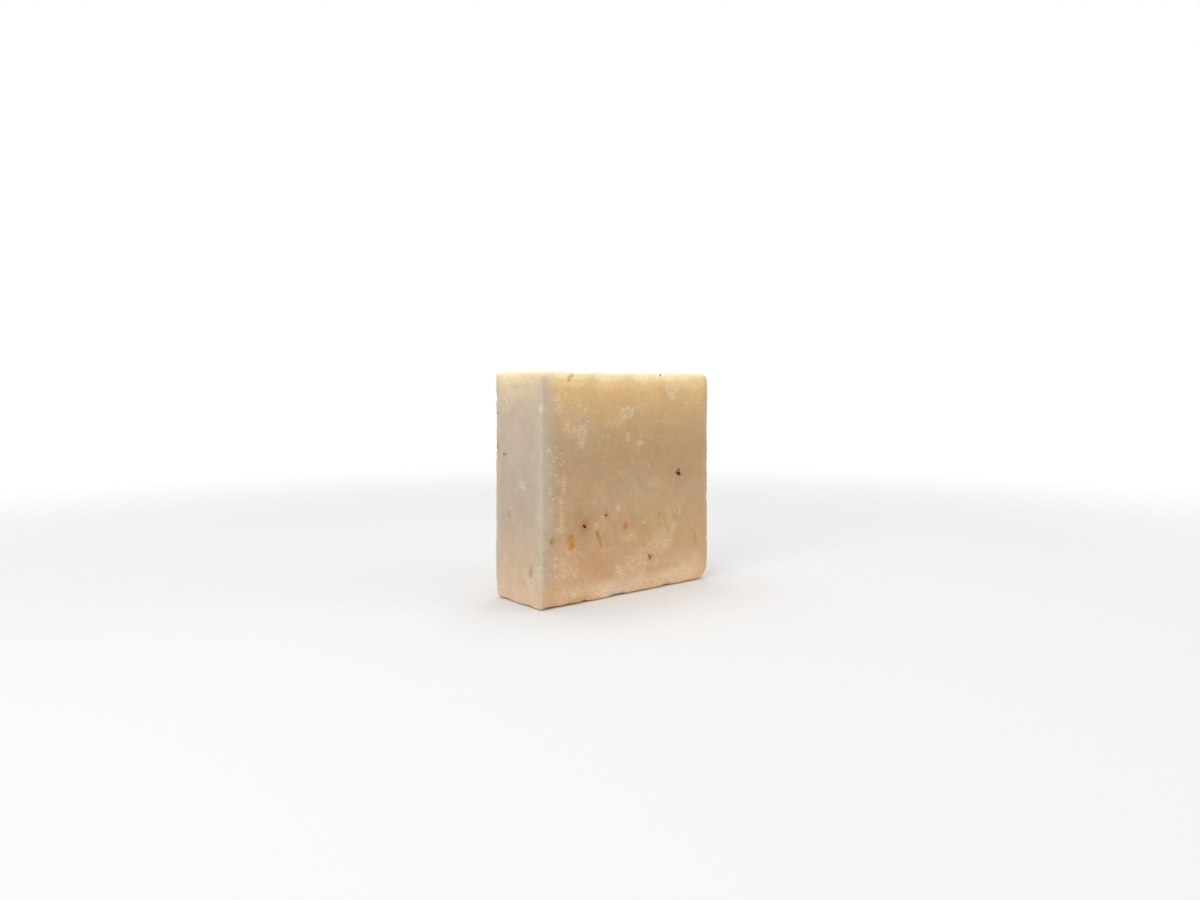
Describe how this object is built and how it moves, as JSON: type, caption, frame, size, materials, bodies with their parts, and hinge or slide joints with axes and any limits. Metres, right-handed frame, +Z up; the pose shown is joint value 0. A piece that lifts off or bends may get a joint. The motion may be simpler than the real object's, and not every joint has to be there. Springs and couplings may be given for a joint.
{
  "type": "bar of soap",
  "caption": "Rectangular cut bar of pale tan handmade soap with fine plant flecks, softened edges and rounder worn corners at its right end, standing on its narrow foot.",
  "frame": {"origin": "middle of the narrow foot that the bar stands on", "axes": "+X across the wide faces towards the end with the worn corners, -Y out of the front wide face, +Z up from the foot to the crest"},
  "size_m": [0.0636, 0.0222, 0.063],
  "materials": {
    "soap": "waxy, slightly translucent, satin to matt",
    "petal": "dried golden flower petal, matt",
    "seed": "dark brown seed and husk, satin"
  },
  "bodies": {
    "root": {"soap_bar": "soap"}
  },
  "joints": []
}
